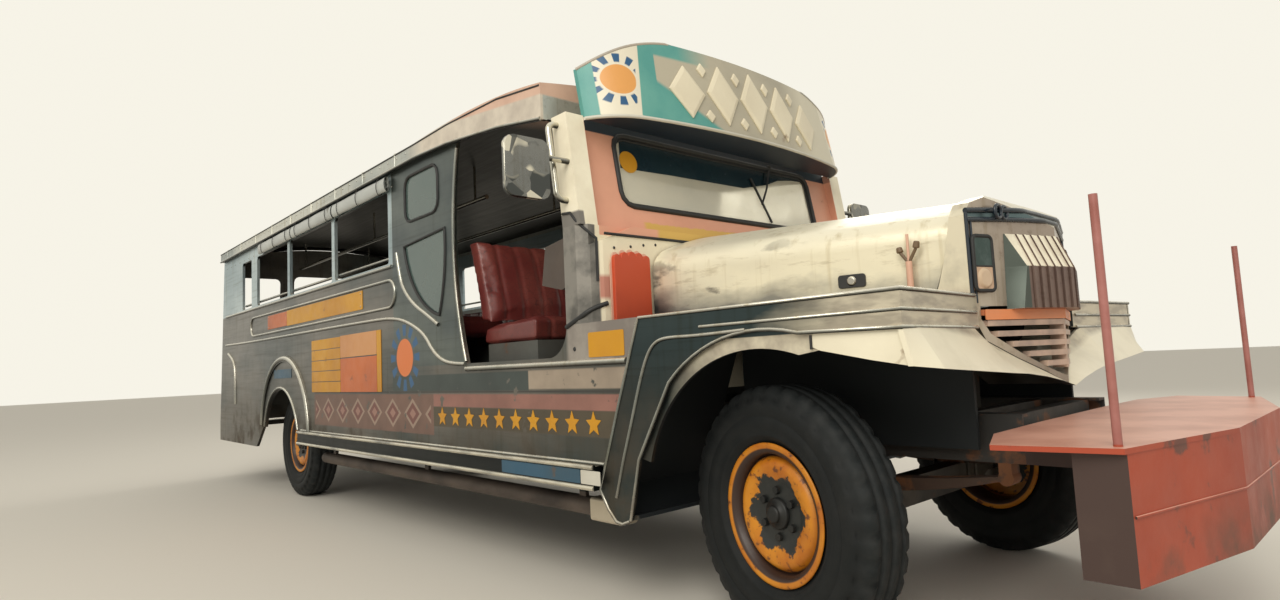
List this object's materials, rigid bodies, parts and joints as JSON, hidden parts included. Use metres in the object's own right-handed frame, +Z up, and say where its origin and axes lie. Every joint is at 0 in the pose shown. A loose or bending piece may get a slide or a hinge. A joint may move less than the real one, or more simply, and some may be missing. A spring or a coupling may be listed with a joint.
{
  "type": "jeepney",
  "caption": "Long open-sided passenger vehicle with a stainless body on a ladder frame, bench seats, prow nose, steered front wheels, rolling wheels and a lifting hood.",
  "frame": {"origin": "on the ground, at the middle of the bounding box", "axes": "+X forwards, +Y to the vehicle's left, +Z up"},
  "size_m": [7.342, 2.41, 2.172],
  "materials": {
    "frame_paint": "old black chassis paint under road dust",
    "driveline_iron": "oily cast iron",
    "engine_iron": "oily cast iron",
    "floor_plate": "worn floor paint",
    "body_stainless": "dull stainless sheet, dirty",
    "window_stainless": "dull stainless sheet",
    "quarter_stainless": "dull stainless sheet",
    "rear_stainless": "dull stainless sheet",
    "roof_paint": "weathered aluminium paint",
    "cowl_paint": "cream enamel",
    "screen_paint": "salmon enamel",
    "clear_glass": "clear glass",
    "visor_paint": "teal and cream enamel",
    "hood_stainless": "polished stainless",
    "nose_stainless": "polished stainless",
    "grille_metal": "bright metal bars",
    "lamp_glass": "lamp lens",
    "fender_stainless": "polished stainless",
    "bumper_paint": "red-orange enamel",
    "board_stainless": "polished stainless",
    "axle_iron": "dirty forged steel",
    "spring_steel": "dirty spring steel",
    "dash_paint": "dark enamel",
    "wheel_plastic": "black plastic rim",
    "seat_vinyl": "dark blue vinyl",
    "bench_vinyl": "dark vinyl",
    "mirror_chrome": "chromed back",
    "tube_chrome": "polished tube",
    "curtain_vinyl": "clear and grey vinyl, rolled up",
    "rim_paint": "yellow-orange enamel",
    "tyre": "black rubber"
  },
  "bodies": {
    "vehicle": {"benches": "bench_vinyl", "chassis_frame": "frame_paint", "cowl": "cowl_paint", "curtain_rolls": "curtain_vinyl", "dashboard": "dash_paint", "driveline": "driveline_iron", "engine_block": "engine_iron", "fender_left": "fender_stainless", "fender_right": "fender_stainless", "floor_pan": "floor_plate", "front_axle": "axle_iron", "front_bumper": "bumper_paint", "front_seat": "seat_vinyl", "fuel_tank": "frame_paint", "grille": "grille_metal", "grille_shell": "nose_stainless", "handrails": "tube_chrome", "lamps": "lamp_glass", "leaf_springs": "spring_steel", "mirrors": "mirror_chrome", "quarter_panels": "quarter_stainless", "rear_axle": "axle_iron", "rear_step": "frame_paint", "rear_wall": "rear_stainless", "roof_panel": "roof_paint", "running_boards": "board_stainless", "side_panel_left": "body_stainless", "side_panel_right": "body_stainless", "visor": "visor_paint", "window_glass": "clear_glass", "window_posts": "window_stainless", "window_rails": "window_stainless", "windscreen_frame": "screen_paint"},
    "hood": {"hood": "hood_stainless"},
    "knuckle_right": {"knuckle_right": "axle_iron"},
    "knuckle_left": {"knuckle_left": "axle_iron"},
    "tie_rod": {"tie_rod": "axle_iron"},
    "steering_wheel": {"steering_wheel": "wheel_plastic"},
    "wheel_front_right": {"rim_front_right": "rim_paint", "tyre_front_right": "tyre"},
    "wheel_front_left": {"rim_front_left": "rim_paint", "tyre_front_left": "tyre"},
    "wheel_rear_right": {"rim_rear_right": "rim_paint", "tyre_rear_right": "tyre"},
    "wheel_rear_left": {"rim_rear_left": "rim_paint", "tyre_rear_left": "tyre"}
  },
  "joints": [
    {"name": "steer_right", "type": "hinge", "parent": "vehicle", "child": "knuckle_right", "pos_m": [2.659, -0.6, 0.385], "axis": [0, 0, 1], "range_deg": [-20, 42]},
    {"name": "steer_left", "type": "hinge", "parent": "vehicle", "child": "knuckle_left", "pos_m": [2.659, 0.6, 0.385], "axis": [0, 0, 1], "range_deg": [-20, 42]},
    {"name": "tie_rod_shift", "type": "slide", "parent": "vehicle", "child": "tie_rod", "axis": [0, 1, 0], "range_m": [-0.1065, 0.0515]},
    {"name": "steering_wheel_turn", "type": "hinge", "parent": "vehicle", "child": "steering_wheel", "pos_m": [1.569, 0.42, 1.29], "axis": [-0.788, 0, 0.6157], "range_deg": [-301, 631]},
    {"name": "spin_front_right", "type": "hinge", "parent": "knuckle_right", "child": "wheel_front_right", "pos_m": [2.6361, -0.71779, 0.385], "axis": [0.1908, 0.9816, 0], "continuous": true},
    {"name": "spin_front_left", "type": "hinge", "parent": "knuckle_left", "child": "wheel_front_left", "pos_m": [2.6819, 0.71779, 0.385], "axis": [0.1908, 0.9816, 0], "continuous": true},
    {"name": "spin_rear_right", "type": "hinge", "parent": "vehicle", "child": "wheel_rear_right", "pos_m": [-1.741, -0.72, 0.385], "axis": [0, 1, 0], "continuous": true},
    {"name": "spin_rear_left", "type": "hinge", "parent": "vehicle", "child": "wheel_rear_left", "pos_m": [-1.741, 0.72, 0.385], "axis": [0, 1, 0], "continuous": true},
    {"name": "hood_lift", "type": "hinge", "parent": "vehicle", "child": "hood", "pos_m": [1.963, 0, 1.396], "axis": [0, -1, 0], "range_deg": [0, 55]}
  ],
  "couplings": [
    {"joint": "steer_left", "follows": "steer_right", "ratio": 1},
    {"joint": "tie_rod_shift", "follows": "steer_right", "m_per_rad": -0.1445},
    {"joint": "steering_wheel_turn", "follows": "steer_right", "ratio": 15}
  ]
}
